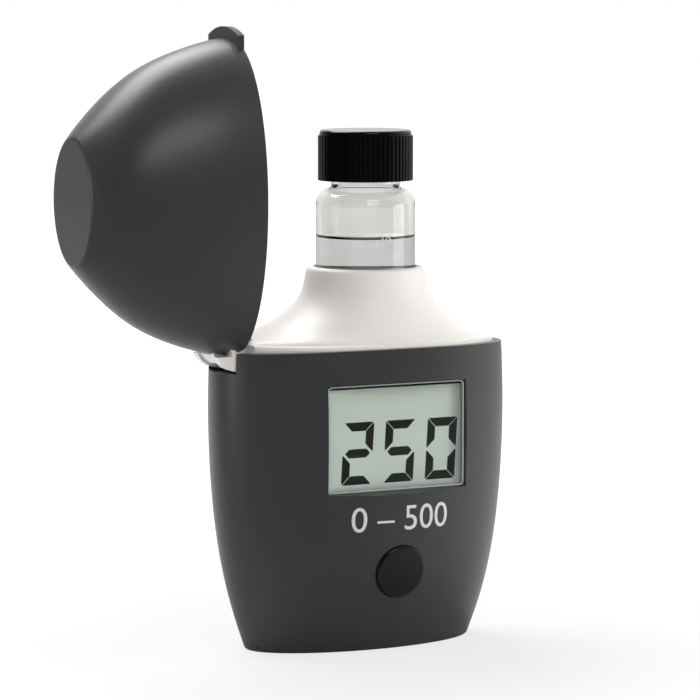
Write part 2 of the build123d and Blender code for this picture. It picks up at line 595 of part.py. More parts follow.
def make_battery():
    """Round cell with a raised contact on top."""
    can_top = battery_top - BATTERY_NUB_HEIGHT
    can = rod(BATTERY_RADIUS, BATTERY_BOTTOM, can_top, BATTERY_X)
    can = fillet(can.edges().filter_by(GeomType.CIRCLE), BATTERY_EDGE)
    return can + rod(BATTERY_NUB_RADIUS, can_top, battery_top, BATTERY_X)


def strip(points, thickness, width):
    """Bent strip through points in the XZ plane, centred on Y = 0."""
    pieces = [Pos(x, 0, z) * Rot(90, 0, 0) * Cylinder(thickness / 2, width) for x, z in points]
    for (x0, z0), (x1, z1) in zip(points, points[1:]):
        length = math.dist((x0, z0), (x1, z1))
        turn = -math.degrees(math.atan2(z1 - z0, x1 - x0))
        pieces.append(Pos((x0 + x1) / 2, 0, (z0 + z1) / 2) * Rot(0, turn, 0) * Box(length, width, thickness))
    whole = pieces[0]
    for piece in pieces[1:]:
        whole = whole + piece
    return whole


def make_minus_contact():
    """Folded leaf between the base cover and the battery."""
    half = CONTACT_THICKNESS / 2
    low = COVER_RECESS + half
    high = BATTERY_BOTTOM - half
    left = BATTERY_X - LEAF_LENGTH / 2
    right = BATTERY_X + LEAF_LENGTH / 2
    points = [(left, low), (right, low), (BATTERY_X, high), (left + LEAF_FOLD, high - LEAF_FOLD)]
    return strip(points, CONTACT_THICKNESS, CONTACT_WIDTH)


def make_plus_contact():
    """Strip from the battery's top to the back of the main board."""
    x0 = BATTERY_X - CONTACT_WIDTH / 2
    x1 = BATTERY_X + CONTACT_WIDTH / 2
    top = battery_top + CONTACT_THICKNESS
    flat = block(x0, x1, board_back, BATTERY_NUB_RADIUS, battery_top, top)
    leg = block(x0, x1, board_back, board_back + CONTACT_THICKNESS, top - CONTACT_LEG, top)
    return flat + leg


def make_main_board():
    """Circuit board behind the display, with a narrow tongue behind the button."""
    upper = block(-BOARD_WIDTH / 2, BOARD_WIDTH / 2, board_front, board_back, BOARD_STEP_Z, BOARD_TOP)
    half = BOARD_TONGUE_WIDTH / 2
    board = upper + block(-half, half, board_front, board_back, BOARD_BOTTOM, BOARD_STEP_Z)
    for side in (-1, 1):
        board = board - rod_y(SCREW_RADIUS + HEAD_GAP, -FAR, FAR, side * BOARD_SCREW_X, BOARD_SCREW_Z)
    return board


def make_button():
    """Round button whose face follows the casing, with a flange behind the wall."""
    proud = [(z, a + BUTTON_PROUD, b + BUTTON_PROUD) for z, a, b in BODY_SECTIONS]
    back = BUTTON_SEAT_Y + BUTTON_REST_GAP + BUTTON_FLANGE_THICKNESS
    cap = rod_y(BUTTON_RADIUS, -FAR, back, 0, BUTTON_Z) & oval_solid(proud, 0)
    face = cap.faces().sort_by(Axis.Y)[0]
    cap = fillet(face.edges(), BUTTON_EDGE)
    flange = rod_y(BUTTON_RADIUS + BUTTON_FLANGE, BUTTON_SEAT_Y + BUTTON_REST_GAP, back, 0, BUTTON_Z)
    return cap + flange


def make_switch_parts():
    """Switch body on the board and the plunger that the button carries."""
    front = board_front - SWITCH_THICKNESS
    half = SWITCH_SIZE / 2
    body = wide_block(half, front, board_front, BUTTON_Z, half)
    body = body - rod_y(PLUNGER_RADIUS + PLUNGER_GAP, -FAR, FAR, 0, BUTTON_Z)
    back = BUTTON_SEAT_Y + BUTTON_REST_GAP + BUTTON_FLANGE_THICKNESS
    plunger = rod_y(PLUNGER_RADIUS, back, front + PLUNGER_ENGAGE, 0, BUTTON_Z)
    return body, plunger


def ring_frame(width, height, wall, y0, y1, z_centre):
    """Rectangular frame round an opening of the given size."""
    outer = wide_block(width / 2 + wall, y0, y1, z_centre, height / 2 + wall)
    return outer - wide_block(width / 2, -FAR, FAR, z_centre, height / 2)


def build():
    """Every piece by name, in the rest pose with the lid open and the cuvette raised."""
    parts = {}
    parts["body_shell"] = make_body_shell()
    parts["base_cover"] = make_base_cover()
    parts["base_cover_screw"] = Pos(COVER_SCREW_X, 0, 0) * screw()
    parts["top_cover"] = make_top_cover()
    parts["cuvette_holder"] = make_cuvette_holder()
    half = HOLDER_SCREW_SPACING / 2
    parts["holder_screws"] = [Pos(CUVETTE_X + s * half, 0, COVER_RECESS) * screw() for s in (-1, 1)]
    lug_under = FLANGE_Z - SCREW_HEAD_HEIGHT
    half = COVER_SCREW_SPACING / 2
    parts["top_cover_screws"] = [Pos(CUVETTE_X + s * half, 0, lug_under) * screw() for s in (-1, 1)]
    seal_outer = GLASS_RADIUS + SEAL_GAP + SEAL_THICKNESS
    seal = rod(seal_outer, SEAL_Z, SEAL_Z + SEAL_HEIGHT, CUVETTE_X)
    parts["light_seal"] = seal - rod(GLASS_RADIUS + SEAL_GAP, 0, FAR, CUVETTE_X)
    opposite = OPTIC_ANGLE + 180
    disc = disc_x(FILTER_RADIUS, FILTER_THICKNESS)
    parts["light_filter"] = along_optic(disc, holder_radius - FILTER_THICKNESS, opposite)
    diode = Pos(DIODE_THICKNESS / 2, 0, 0) * Box(DIODE_THICKNESS, DIODE_SIZE, DIODE_SIZE)
    parts["photodiode"] = along_optic(diode, holder_radius + OPTIC_GAP, opposite)
    board = small_board(SENSOR_BOARD_WIDTH, SENSOR_BOARD_HEIGHT)
    parts["sensor_board"] = along_optic(board, holder_radius + OPTIC_GAP + DIODE_THICKNESS, opposite)
    flange = Pos(LED_LENGTH - LED_FLANGE_THICKNESS, 0, 0) * disc_x(LED_FLANGE_RADIUS, LED_FLANGE_THICKNESS)
    led = disc_x(LED_RADIUS, LED_LENGTH) + flange
    parts["lamp_led"] = along_optic(led, bore_radius + OPTIC_GAP)
    board = small_board(LED_BOARD_WIDTH, LED_BOARD_HEIGHT)
    parts["lamp_board"] = along_optic(board, bore_radius + OPTIC_GAP + LED_LENGTH)

    parts["display_window"] = wide_block(
        WINDOW_WIDTH / 2 + WINDOW_LEDGE, WINDOW_Y, window_back, WINDOW_Z, WINDOW_HEIGHT / 2 + WINDOW_LEDGE)
    parts["display_glass"] = wide_block(LCD_WIDTH / 2, lcd_front, lcd_back, WINDOW_Z, LCD_HEIGHT / 2)
    gap = LCD_FRAME_GAP
    parts["display_frame"] = ring_frame(LCD_WIDTH + 2 * gap, LCD_HEIGHT + 2 * gap, LCD_FRAME_WALL - gap,
                                        lcd_front, board_front, WINDOW_Z)
    zebra_z = LCD_HEIGHT / 2 - ZEBRA_HEIGHT / 2
    half = ZEBRA_WIDTH / 2
    tall = ZEBRA_HEIGHT / 2
    centres = (WINDOW_Z - zebra_z, WINDOW_Z + zebra_z)
    parts["display_connectors"] = [wide_block(half, lcd_back, board_front, z, tall) for z in centres]
    parts["main_board"] = make_main_board()
    parts["board_screws"] = [make_board_screw(s) for s in (-1, 1)]
    half = CHIP_SIZE / 2
    parts["microcontroller"] = block(CHIP_X - half, CHIP_X + half, board_back, board_back + CHIP_THICKNESS,
                                     CHIP_Z - half, CHIP_Z + half)
    can = Pos(CRYSTAL_X, board_back + CRYSTAL_RADIUS, CRYSTAL_Z) * Rot(0, 90, 0)
    parts["crystal"] = can * Cylinder(CRYSTAL_RADIUS, CRYSTAL_LENGTH)
    parts["board_components"] = make_resistors()
    body, plunger = make_switch_parts()
    parts["switch_body"] = body
    parts["switch_plunger"] = plunger
    parts["button_cap"] = make_button()
    parts["battery"] = make_battery()
    parts["battery_minus_contact"] = make_minus_contact()
    parts["battery_plus_contact"] = make_plus_contact()

    parts["hinge_pin"] = rod_y(PIN_RADIUS, -EAR_OUTER, EAR_OUTER, HINGE_X, HINGE_Z)
    parts["lid_shell"] = lid_pose(make_lid_shell())
    parts["lid_hinge_arm"] = lid_pose(make_hinge_arm())
    parts["arm_rivets"] = [lid_pose(head) for head in make_arm_rivets()]
    parts["latch_tab"] = lid_pose(make_latch_tab())

    parts["cuvette_glass"] = make_cuvette_glass()
    parts["sample_liquid"] = rod(glass_inner - LIQUID_GAP, GLASS_BOTTOM + GLASS_FLOOR, FILL_Z, CUVETTE_X)
    parts["cuvette_cap"] = make_cap()
    liner_low = NECK_TOP + LINER_GAP
    parts["cap_liner"] = rod(cap_bore - LINER_GAP, liner_low, liner_low + LINER_THICKNESS, CUVETTE_X)
    return parts


def make_board_screw(side):
    """Screw through the main board into a post of the casing."""
    turned = Rot(90, 0, 0) * screw()
    placed = Pos(side * BOARD_SCREW_X, board_back + SCREW_HEAD_HEIGHT, BOARD_SCREW_Z) * turned
    keep = block(-FAR, FAR, board_front - BOARD_SCREW_LENGTH, FAR, -FAR, FAR)
    return placed & keep


def make_resistors():
    """Grid of small chip parts."""
    wide, deep, tall = RESISTOR_SIZE
    chips = []
    for row in range(RESISTOR_ROWS):
        for column in range(RESISTOR_COLUMNS):
            x = RESISTOR_X + (row - (RESISTOR_ROWS - 1) / 2) * RESISTOR_ROW_PITCH
            z = RESISTOR_Z + (column - (RESISTOR_COLUMNS - 1) / 2) * RESISTOR_COLUMN_PITCH
            chip = Pos(x, board_back + deep / 2, z) * Box(wide, deep, tall)
            chips.append(chip)
    return chips


def as_shape(item):
    """One exportable shape from a solid or a list of solids."""
    if isinstance(item, list):
        solids = [solid for shape in item for solid in shape.solids()]
    else:
        solids = item.solids()
    if len(solids) == 1:
        return solids[0]
    return Compound(children=solids)


os.makedirs("parts", exist_ok=True)
for name, item in build().items():
    export_step(as_shape(item), f"parts/{name}.step")
    print(name)
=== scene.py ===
import json
import logging
import math
from abc import ABC, abstractmethod
from dataclasses import dataclass, field
from enum import Enum

import bmesh
import bpy
from mathutils import Matrix, Vector
from mathutils.bvhtree import BVHTree


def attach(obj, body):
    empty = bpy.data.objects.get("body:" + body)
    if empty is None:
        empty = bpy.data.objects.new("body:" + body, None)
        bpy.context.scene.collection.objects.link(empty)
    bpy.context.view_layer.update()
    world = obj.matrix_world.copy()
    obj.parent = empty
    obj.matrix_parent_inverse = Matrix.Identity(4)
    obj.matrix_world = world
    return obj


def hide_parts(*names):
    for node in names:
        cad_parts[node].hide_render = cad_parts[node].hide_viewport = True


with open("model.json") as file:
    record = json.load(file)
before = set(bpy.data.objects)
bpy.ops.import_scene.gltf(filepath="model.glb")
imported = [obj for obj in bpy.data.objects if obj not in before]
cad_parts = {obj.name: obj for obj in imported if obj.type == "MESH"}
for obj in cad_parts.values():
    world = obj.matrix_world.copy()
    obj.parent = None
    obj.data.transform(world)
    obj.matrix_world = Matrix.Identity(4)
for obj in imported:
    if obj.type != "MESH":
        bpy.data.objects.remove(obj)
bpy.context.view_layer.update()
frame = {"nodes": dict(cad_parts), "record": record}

# Lengths are in metres, except where a class says otherwise.
MM = 0.001
TINY = 1e-7
SMOOTH_ANGLE = math.radians(30)
STAND_UP = Matrix.Rotation(math.radians(90), 4, "X")
CUVETTE_X = 1.75 * MM
WINDOW_Z = 39.4 * MM
LOG = logging.getLogger("colorimeter")

Colour = tuple[float, float, float]
Point = tuple[float, float, float]
Span = tuple[float, float]


class Slot(Enum):
    """Material slots of the instrument, by the names the part's record gives them."""

    SHELL_GREY = "shell_grey"
    COVER_WHITE = "cover_white"
    PALE_TRIM = "pale_trim"
    HOLDER_BLACK = "holder_black"
    SEAL_RUBBER = "seal_rubber"
    SCREW_STEEL = "screw_steel"
    PIN_STEEL = "pin_steel"
    VIAL_GLASS = "vial_glass"
    SAMPLE_WATER = "sample_water"
    CAP_BLACK = "cap_black"
    LINER_FOAM = "liner_foam"
    WINDOW_CLEAR = "window_clear"
    DISPLAY_GREY = "display_grey"
    DISPLAY_FRAME = "display_frame"
    CONNECTOR_RUBBER = "connector_rubber"
    BOARD_GREEN = "board_green"
    CHIP_BLACK = "chip_black"
    COMPONENT_TAN = "component_tan"
    CAN_METAL = "can_metal"
    BUTTON_BLACK = "button_black"
    SWITCH_PLASTIC = "switch_plastic"
    CELL_JACKET = "cell_jacket"
    CONTACT_METAL = "contact_metal"
    LAMP_LENS = "lamp_lens"
    FILTER_GLASS = "filter_glass"
    DIODE_BLACK = "diode_black"


class Body(Enum):
    """Bodies of the instrument that carry pieces made here."""

    BASE = "base"
    CUVETTE = "cuvette"


class Wire:
    """A number or vector socket of a shader graph, with arithmetic."""

    def __init__(self, graph: "Graph", socket: bpy.types.NodeSocket) -> None:
        """Wrap an output socket of a graph."""
        self.graph = graph
        self.socket = socket

    def _math(self, operation: str, *values: "Wire | float") -> "Wire":
        """Return a new wire from one Math node."""
        return self.graph.math(operation, *values)

    def __add__(self, other: "Wire | float") -> "Wire":
        """Return this plus the other."""
        return self._math("ADD", self, other)

    def __radd__(self, other: float) -> "Wire":
        """Return the other plus this."""
        return self._math("ADD", other, self)

    def __sub__(self, other: "Wire | float") -> "Wire":
        """Return this less the other."""
        return self._math("SUBTRACT", self, other)

    def __rsub__(self, other: float) -> "Wire":
        """Return the other less this."""
        return self._math("SUBTRACT", other, self)

    def __mul__(self, other: "Wire | float") -> "Wire":
        """Return this times the other."""
        return self._math("MULTIPLY", self, other)

    def __rmul__(self, other: float) -> "Wire":
        """Return the other times this."""
        return self._math("MULTIPLY", other, self)

    def __truediv__(self, other: "Wire | float") -> "Wire":
        """Return this over the other."""
        return self._math("DIVIDE", self, other)

    def __rtruediv__(self, other: float) -> "Wire":
        """Return the other over this."""
        return self._math("DIVIDE", other, self)

    def maximum(self, other: "Wire | float") -> "Wire":
        """Return the larger of two values."""
        return self._math("MAXIMUM", self, other)

    def fraction(self) -> "Wire":
        """Return the fractional part."""
        return self._math("FRACT", self)

    def ramp(self, start: float, end: float) -> "Wire":
        """Blend smoothly between two values.

        Args:
            start: value up to which the blend is 0.
            end: value from which the blend is 1.

        Returns:
            The blend.
        """
        node = self.graph.node(
            "ShaderNodeMapRange",
            {"interpolation_type": "SMOOTHSTEP", "clamp": True},
            {"Value": self, "From Min": start, "From Max": end},
        )
        return Wire(self.graph, node.outputs["Result"])


class Graph:
    """Shader graph of one material."""

    def __init__(self, tree: bpy.types.NodeTree, output: str = "ShaderNodeOutputMaterial") -> None:
        """Start an empty graph with an output node.

        Args:
            tree: node tree to fill.
            output: type of the output node.
        """
        self.tree = tree
        tree.nodes.clear()
        self.output = tree.nodes.new(output)

    def node(self, kind: str, settings: dict | None = None, inputs: dict | None = None) -> bpy.types.Node:
        """Add a node.

        Args:
            kind: node type.
            settings: attributes set before any input.
            inputs: values, wires or sockets by input name or index.

        Returns:
            The new node.
        """
        made = self.tree.nodes.new(kind)
        for name, value in (settings or {}).items():
            setattr(made, name, value)
        for name, value in (inputs or {}).items():
            self.feed(made.inputs[name], value)
        return made

    def feed(self, socket: bpy.types.NodeSocket, value: object) -> None:
        """Link or set one input socket.

        Args:
            socket: input socket.
            value: wire or socket to link, or value to set.
        """
        if isinstance(value, Wire):
            value = value.socket
        if isinstance(value, bpy.types.NodeSocket):
            self.tree.links.new(value, socket)
        else:
            socket.default_value = value

    def math(self, operation: str, *values: Wire | float) -> Wire:
        """Add a Math node over one to three values."""
        made = self.node("ShaderNodeMath", {"operation": operation}, dict(enumerate(values)))
        return Wire(self, made.outputs[0])

    def position(self) -> bpy.types.NodeSocket:
        """Return object coordinates."""
        return self.node("ShaderNodeTexCoord").outputs["Object"]

    def axes(self) -> tuple[Wire, Wire, Wire]:
        """Split the object coordinates.

        Returns:
            The coordinates along X, Y and Z.
        """
        made = self.node("ShaderNodeSeparateXYZ", None, {0: self.position()})
        x, y, z = (Wire(self, socket) for socket in made.outputs)
        return x, y, z

    def stretched(self, scale: Point) -> bpy.types.NodeSocket:
        """Return object coordinates scaled by axis."""
        made = self.node("ShaderNodeMapping", None, {"Vector": self.position(), "Scale": scale})
        return made.outputs[0]

    def noise(self, size: float, detail: float = 2.0, vector: bpy.types.NodeSocket | None = None) -> Wire:
        """Add noise between 0 and 1.

        Args:
            size: feature size in metres.
            detail: octaves.
            vector: coordinates, the object's own by default.

        Returns:
            The noise.
        """
        made = self.node(
            "ShaderNodeTexNoise",
            None,
            {"Vector": vector or self.position(), "Scale": 1.0 / size, "Detail": detail},
        )
        return Wire(self, made.outputs["Fac"])

    def cells(self, size: float) -> Wire:
        """Return cell distances of a grain of a size in metres."""
        made = self.node("ShaderNodeTexVoronoi", None, {"Vector": self.position(), "Scale": 1.0 / size})
        return Wire(self, made.outputs["Distance"])

    def mix(self, factor: Wire, first: Colour, second: Colour) -> bpy.types.NodeSocket:
        """Return a colour between the first, where the factor is 0, and the second."""
        ends = {0: factor, 6: (*first, 1.0), 7: (*second, 1.0)}
        return self.node("ShaderNodeMix", {"data_type": "RGBA"}, ends).outputs[2]

    def bump(self, height: Wire, strength: float, distance: float) -> bpy.types.NodeSocket:
        """Return the normal bent by a height from 0 to 1, where 1 stands for the distance."""
        settings = {"Height": height, "Strength": strength, "Distance": distance}
        return self.node("ShaderNodeBump", None, settings).outputs[0]

    def show(self, shader: bpy.types.Node) -> None:
        """Link a shader to the output."""
        self.tree.links.new(shader.outputs[0], self.output.inputs["Surface"])

    def principled(self, settings: dict) -> None:
        """Show one Principled shader."""
        self.show(self.node("ShaderNodeBsdfPrincipled", None, settings))


def shade(colour: Colour, factor: float) -> Colour:
    """Return a colour made lighter or darker by a factor."""
    red, green, blue = (min(channel * factor, 1.0) for channel in colour)
    return red, green, blue


@dataclass(frozen=True)
class Finish(ABC):
    """Surface of one material slot."""

    colour: Colour

    def material(self, name: str) -> bpy.types.Material:
        """Build the Blender material.

        Args:
            name: material name.

        Returns:
            The finished material.
        """
        made = bpy.data.materials.new(name)
        made.use_nodes = True
        self.paint(Graph(made.node_tree))
        return made

    def toned(self, graph: Graph, factor: Wire, tones: Span) -> bpy.types.NodeSocket:
        """Return the colour between a darker and a lighter tone of itself."""
        return graph.mix(factor, shade(self.colour, tones[0]), shade(self.colour, tones[1]))

    @abstractmethod
    def paint(self, graph: Graph) -> None:
        """Fill the material's graph."""


@dataclass(frozen=True)
class Plastic(Finish):
    """Moulded plastic with a fine grain and a slight drift of tone."""

    roughness: float = 0.5
    grain: float = 0.0003
    relief: float = 0.00001
    drift: float = 0.05
    coat: float = 0.0
    shine: float = 0.5
    coat_roughness: float = 0.08
    patch: float = 0.02
    grain_share: float = 0.3
    uneven: float = 0.08
    bite: float = 0.6

    def paint(self, graph: Graph) -> None:
        """Fill the material's graph.

        Args:
            graph: empty graph of the material.
        """
        tone = graph.noise(self.patch, detail=3.0)
        speck = graph.noise(self.grain)
        blend = (1 - self.grain_share) * tone + self.grain_share * speck
        graph.principled({
            "Base Color": self.toned(graph, blend, (1 - self.drift, 1 + self.drift)),
            "Roughness": self.roughness + self.uneven * (speck - 0.5),
            "Specular IOR Level": self.shine,
            "Coat Weight": self.coat,
            "Coat Roughness": self.coat_roughness,
            "Normal": graph.bump(speck, self.bite, self.relief),
        })


@dataclass(frozen=True)
class Rubber(Finish):
    """Soft matt rubber or foam with small pores."""

    roughness: float = 0.75
    pores: float = 0.0004
    relief: float = 0.00002
    rim: Span = (0.1, 0.6)
    tones: Span = (0.8, 1.1)
    uneven: float = 0.1
    bite: float = 0.4

    def paint(self, graph: Graph) -> None:
        """Fill the material's graph.

        Args:
            graph: empty graph of the material.
        """
        pores = graph.cells(self.pores)
        graph.principled({
            "Base Color": self.toned(graph, pores.ramp(*self.rim), self.tones),
            "Roughness": self.roughness + self.uneven * (pores - 0.5),
            "Normal": graph.bump(pores, self.bite, self.relief),
        })


@dataclass(frozen=True)
class Metal(Finish):
    """Turned or rolled metal with fine lines along one way."""

    roughness: float = 0.3
    lines: Point = (1.0, 1.0, 8.0)
    line: float = 0.0008
    patch: float = 0.004
    tones: Span = (0.86, 1.08)
    uneven: float = 0.14
    bite: float = 0.25
    relief: float = 0.00001

    def paint(self, graph: Graph) -> None:
        """Fill the material's graph.

        Args:
            graph: empty graph of the material.
        """
        grain = graph.noise(self.line, detail=3.0, vector=graph.stretched(self.lines))
        haze = graph.noise(self.patch)
        graph.principled({
            "Base Color": self.toned(graph, haze, self.tones),
            "Metallic": 1.0,
            "Roughness": self.roughness + self.uneven * (grain - 0.5),
            "Normal": graph.bump(grain, self.bite, self.relief),
        })


@dataclass(frozen=True)
class Clear(Finish):
    """Clear glass, plastic or liquid with faint waves in its face."""

    index: float = 1.47
    roughness: float = 0.01
    waves: float = 0.0
    wave_size: float = 0.006
    glint: float = 1.0
    tones: Span = (0.985, 1.0)
    uneven: float = 0.01
    bite: float = 0.3

    def paint(self, graph: Graph) -> None:
        """Fill the material's graph.

        Args:
            graph: empty graph of the material.
        """
        wave = graph.noise(self.wave_size, detail=1.0)
        graph.principled({
            "Base Color": self.toned(graph, wave, self.tones),
            "Roughness": self.roughness + self.uneven * wave,
            "IOR": self.index,
            "Transmission Weight": 1.0,
            "Specular Tint": (self.glint, self.glint, self.glint, 1.0),
            "Normal": graph.bump(wave, self.bite, self.waves),
        })


@dataclass(frozen=True)
class CircuitBoard(Finish):
    """Solder mask with faint tracks and plated pads."""

    copper: Colour = (0.05, 0.24, 0.12)
    pitch: float = 0.0016
    track_edge: Span = (0.55, 0.62)
    run: float = 0.006
    run_stretch: Point = (1.0, 1.0, 0.2)
    run_edge: Span = (0.46, 0.5)
    roughness: float = 0.32
    uneven: float = 0.1
    patch: float = 0.002
    bite: float = 0.4
    relief: float = 0.00004

    def paint(self, graph: Graph) -> None:
        """Fill the material's graph.

        Args:
            graph: empty graph of the material.
        """
        x, y, _ = graph.axes()
        across = ((x + y) / self.pitch).fraction().ramp(*self.track_edge)
        run = graph.noise(self.run, detail=1.0, vector=graph.stretched(self.run_stretch))
        track = across * run.ramp(*self.run_edge)
        graph.principled({
            "Base Color": graph.mix(track, self.colour, self.copper),
            "Roughness": self.roughness + self.uneven * graph.noise(self.patch),
            "Normal": graph.bump(track, self.bite, self.relief),
        })


@dataclass(frozen=True)
class Jacket(Finish):
    """Printed jacket of the battery, two plain tones split at a height."""

    second: Colour = (0.55, 0.42, 0.2)
    split: float = 0.034
    blur: float = 0.0002
    metallic: float = 0.6
    roughness: float = 0.28
    uneven: float = 0.15
    patch: float = 0.003
    bite: float = 0.2
    relief: float = 0.00002

    def paint(self, graph: Graph) -> None:
        """Fill the material's graph.

        Args:
            graph: empty graph of the material.
        """
        _, _, z = graph.axes()
        top = z.ramp(self.split, self.split + self.blur)
        scuff = graph.noise(self.patch, detail=3.0)
        graph.principled({
            "Base Color": graph.mix(top, self.colour, self.second),
            "Metallic": self.metallic,
            "Roughness": self.roughness + self.uneven * scuff,
            "Normal": graph.bump(scuff, self.bite, self.relief),
        })


@dataclass(frozen=True)
class Striped(Finish):
    """Elastomer of conducting and plain layers."""

    second: Colour = (0.05, 0.05, 0.05)
    pitch: float = 0.0004
    band_edge: Span = (0.45, 0.55)
    roughness: float = 0.6
    uneven: float = 0.1
    grain: float = 0.0005
    bite: float = 0.3
    relief: float = 0.00002

    def paint(self, graph: Graph) -> None:
        """Fill the material's graph.

        Args:
            graph: empty graph of the material.
        """
        x, _, _ = graph.axes()
        band = (x / self.pitch).fraction().ramp(*self.band_edge)
        graph.principled({
            "Base Color": graph.mix(band, self.colour, self.second),
            "Roughness": self.roughness + self.uneven * band,
            "Normal": graph.bump(graph.noise(self.grain), self.bite, self.relief),
        })


@dataclass(frozen=True)
class LcdFace(Finish):
    """Reflective face of a liquid crystal display, with painted shade of the recess darkening it towards
    its edges and more towards its right side.
    """

    # edge is the colour of the painted shade along the display's edges and right side.
    edge: Colour = (0.36, 0.37, 0.36)
    half: Span = (0.0138, 0.0096)
    centre_z: float = WINDOW_Z
    # border is the width of the painted shade band along every edge.
    border: float = 0.0016
    edge_shade_share: float = 0.6
    right_shade_width: float = 0.0035
    right_shade_share: float = 0.85
    roughness: float = 0.42
    uneven: float = 0.08
    grain: float = 0.0002
    grain_share: float = 0.1
    bite: float = 0.2
    relief: float = 0.000004

    def paint(self, graph: Graph) -> None:
        """Fill the material's graph.

        Args:
            graph: empty graph of the material.
        """
        x, _, z = graph.axes()
        # Painted shade of the recess: wide towards the right side, narrow along every edge.
        right_shade = x.ramp(self.half[0] - self.right_shade_width, self.half[0] - self.border / 2)
        side = graph.math("ABSOLUTE", x) - (self.half[0] - self.border)
        level = graph.math("ABSOLUTE", z - self.centre_z) - (self.half[1] - self.border)
        near = side.maximum(level).ramp(0.0, self.border)
        grain = graph.noise(self.grain, detail=1.0)
        # dark blends towards the painted shade colour, plus a faint random grain.
        dark = (self.edge_shade_share * near).maximum(self.right_shade_share * right_shade) + self.grain_share * grain
        graph.principled({
            "Base Color": graph.mix(dark, self.colour, self.edge),
            "Roughness": self.roughness + self.uneven * grain,
            "Normal": graph.bump(grain, self.bite, self.relief),
        })


@dataclass(frozen=True)
class Ink(Finish):
    """Dark display ink with hardly any shine."""

    roughness: float = 0.5
    shine: float = 0.08
    grain: float = 0.0004
    tones: Span = (0.94, 1.06)
    uneven: float = 0.06

    def paint(self, graph: Graph) -> None:
        """Fill the material's graph.

        Args:
            graph: empty graph of the material.
        """
        spread = graph.noise(self.grain)
        graph.principled({
            "Base Color": self.toned(graph, spread, self.tones),
            "Roughness": self.roughness + self.uneven * spread,
            "Specular IOR Level": self.shine,
        })


FINISHES: dict[Slot, Finish] = {
    Slot.SHELL_GREY: Plastic((0.039, 0.0395, 0.042), 0.36, 0.00045, 0.000022, 0.03),
    Slot.COVER_WHITE: Plastic((0.86, 0.825, 0.79), 0.38, 0.0006, 0.00001, 0.015),
    Slot.PALE_TRIM: Plastic((0.66, 0.68, 0.7), 0.16, 0.0008, 0.000006, 0.03, 0.5),
    Slot.HOLDER_BLACK: Plastic((0.02, 0.02, 0.022), 0.6, 0.0005, 0.00002, 0.1),
    Slot.SEAL_RUBBER: Rubber((0.03, 0.03, 0.03)),
    Slot.SCREW_STEEL: Metal((0.62, 0.62, 0.62), 0.3),
    Slot.PIN_STEEL: Metal((0.6, 0.6, 0.61), 0.22, (1.0, 8.0, 1.0)),
    Slot.VIAL_GLASS: Clear((0.8, 0.8, 0.785), 1.47, 0.0, 0.00004),
    Slot.SAMPLE_WATER: Clear((0.96, 0.985, 0.985), 1.333, 0.0, 0.0),
    Slot.CAP_BLACK: Plastic((0.003, 0.003, 0.0035), 0.16, 0.0007, 0.000006, 0.1, 0.0, 0.34),
    Slot.LINER_FOAM: Rubber((0.85, 0.85, 0.82), 0.8),
    Slot.WINDOW_CLEAR: Clear((0.97, 0.985, 0.975), 1.49, 0.0, 0.00002, 0.006, 0.15),
    Slot.DISPLAY_GREY: LcdFace((0.68, 0.76, 0.68)),
    Slot.DISPLAY_FRAME: Ink((0.008, 0.01, 0.008)),
    Slot.CONNECTOR_RUBBER: Striped((0.75, 0.72, 0.68)),
    Slot.BOARD_GREEN: CircuitBoard((0.02, 0.16, 0.08)),
    Slot.CHIP_BLACK: Plastic((0.02, 0.02, 0.02), 0.6, 0.0003, 0.00002, 0.2),
    Slot.COMPONENT_TAN: Rubber((0.55, 0.45, 0.33), 0.5, 0.0003, 0.00001),
    Slot.CAN_METAL: Metal((0.7, 0.7, 0.7), 0.25, (8.0, 1.0, 1.0)),
    Slot.BUTTON_BLACK: Plastic((0.004, 0.004, 0.0045), 0.3, 0.0005, 0.00001, 0.1),
    Slot.SWITCH_PLASTIC: Plastic((0.05, 0.05, 0.05), 0.5),
    Slot.CELL_JACKET: Jacket((0.3, 0.31, 0.33)),
    Slot.CONTACT_METAL: Metal((0.72, 0.7, 0.62), 0.28, (8.0, 1.0, 1.0)),
    Slot.LAMP_LENS: Clear((0.75, 0.9, 0.8), 1.5, 0.03),
    Slot.FILTER_GLASS: Clear((0.1, 0.45, 0.25), 1.5, 0.01),
    Slot.DIODE_BLACK: Plastic((0.03, 0.03, 0.05), 0.2, 0.0006, 0.00001, 0.2, 0.4),
}


class Palette:
    """Materials of all slots, built once each."""

    def __init__(self, finishes: dict[Slot, Finish]) -> None:
        """Build the material of every slot."""
        self._made = {slot: finish.material(slot.value) for slot, finish in finishes.items()}

    def __getitem__(self, slot: Slot) -> bpy.types.Material:
        """Return the material of a slot."""
        return self._made[slot]

    def dress(self, obj: bpy.types.Object, slot: Slot) -> None:
        """Give an object one slot's material."""
        obj.data.materials.clear()
        obj.data.materials.append(self[slot])


